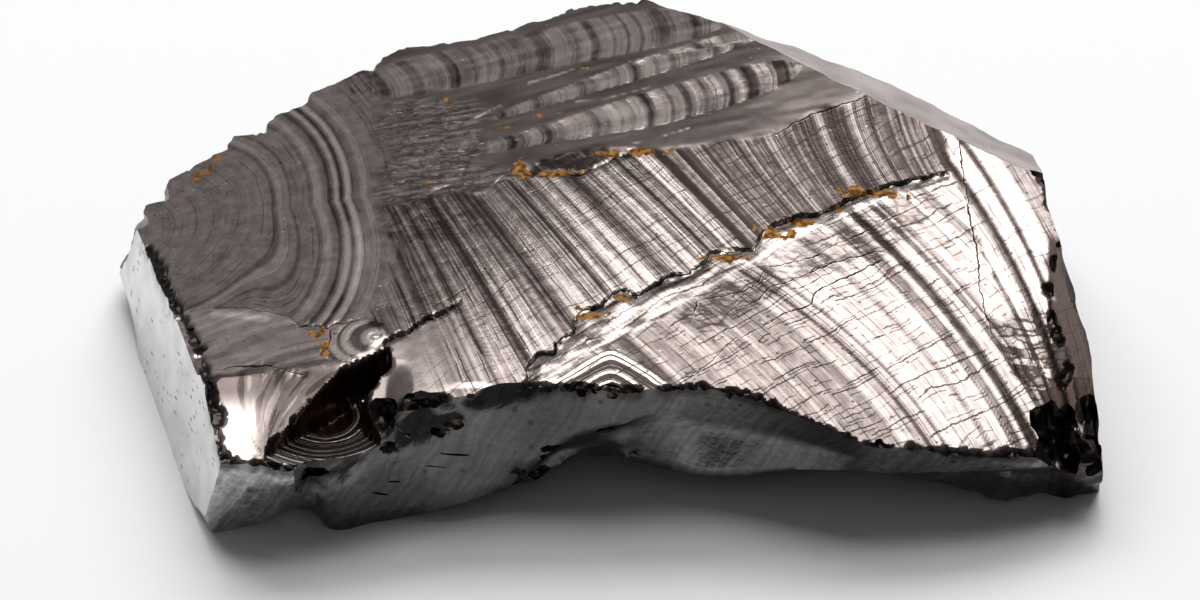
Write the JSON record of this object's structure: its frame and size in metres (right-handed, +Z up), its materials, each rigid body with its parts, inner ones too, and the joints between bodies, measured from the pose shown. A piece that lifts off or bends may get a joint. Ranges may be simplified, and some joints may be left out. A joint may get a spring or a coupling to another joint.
{
  "type": "shungite stone",
  "caption": "Broken slab of noble shungite: a glassy black stone with a domed, rippled top, hollow fracture faces round its sides and a flat to rest on.",
  "frame": {"origin": "on the ground, under the middle of the stone's bounding box", "axes": "+X along the stone's length, towards its blunt end; +Y from its overhanging front to its high back; +Z up"},
  "size_m": [0.064, 0.0416, 0.0135],
  "materials": {
    "stone": "glassy black with a metallic lustre, silvery on the rippled top, with rusty ochre in its cracks"
  },
  "bodies": {
    "root": {"stone": "stone"}
  },
  "joints": []
}
